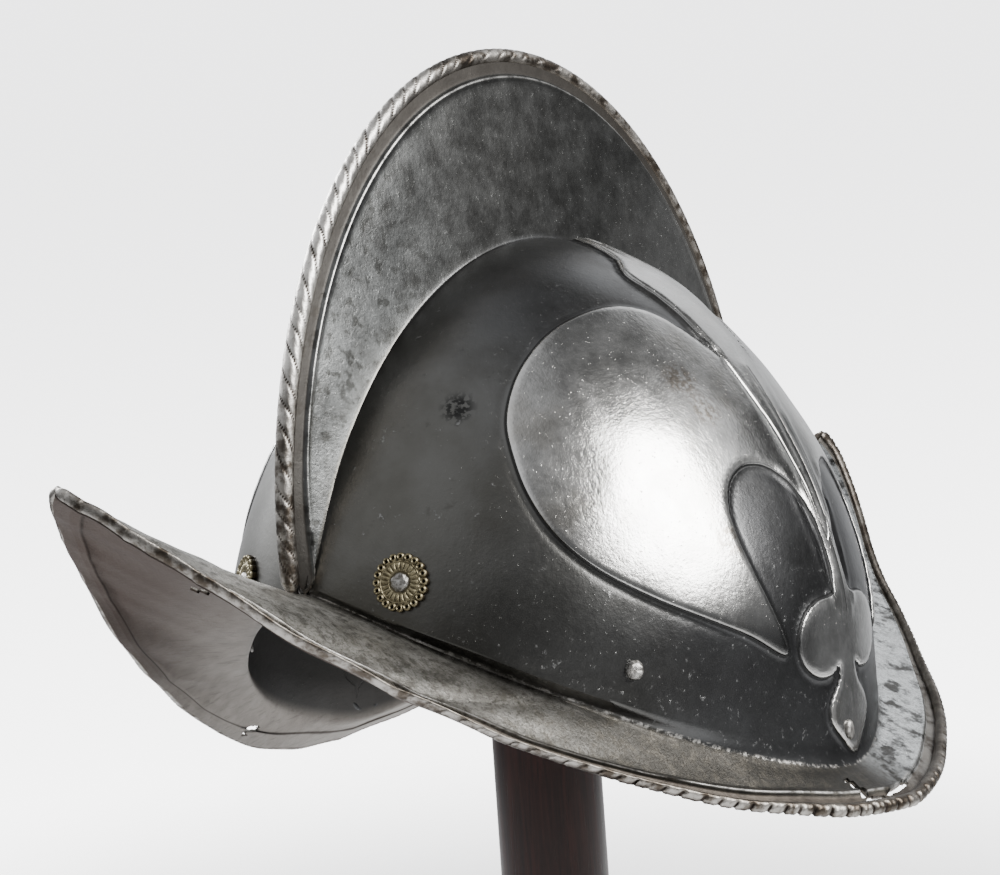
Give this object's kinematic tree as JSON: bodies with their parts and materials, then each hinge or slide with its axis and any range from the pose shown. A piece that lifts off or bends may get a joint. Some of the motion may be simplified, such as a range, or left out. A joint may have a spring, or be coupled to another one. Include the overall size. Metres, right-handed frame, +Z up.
{
  "type": "morion helmet on wooden stand",
  "caption": "Open iron helmet with a tall roped comb, a boat-shaped brim with peaks and a raised lily on each side, on a round post with a round base.",
  "frame": {"origin": "on the floor, under the middle of the helmet's length and width", "axes": "+Y from the front peak to the back peak, +X towards the wearer's left, +Z up"},
  "size_m": [0.2272, 0.3564, 0.3332],
  "materials": {
    "steel_shell": "blackened iron with polished raised parts, pitted and worn",
    "steel_edge": "worn brownish steel with filed roping",
    "rosette_brass": "tarnished brass, brighter on its rims",
    "rivet_steel": "worn steel rivet heads",
    "stand_wood": "dark red-brown polished wood"
  },
  "bodies": {
    "root": {"shell_left": "steel_shell", "shell_right": "steel_shell", "comb_roll": "steel_edge", "rosette_front_left": "rosette_brass", "rosette_rivet_front_left": "rivet_steel", "rivet_front_left": "rivet_steel", "rosette_back_left": "rosette_brass", "rosette_rivet_back_left": "rivet_steel", "rivet_back_left": "rivet_steel", "rivet_side_left": "rivet_steel", "rosette_front_right": "rosette_brass", "rosette_rivet_front_right": "rivet_steel", "rivet_front_right": "rivet_steel", "rosette_back_right": "rosette_brass", "rosette_rivet_back_right": "rivet_steel", "rivet_back_right": "rivet_steel", "rivet_side_right": "rivet_steel", "stand_post": "stand_wood", "stand_base": "stand_wood"}
  },
  "joints": []
}
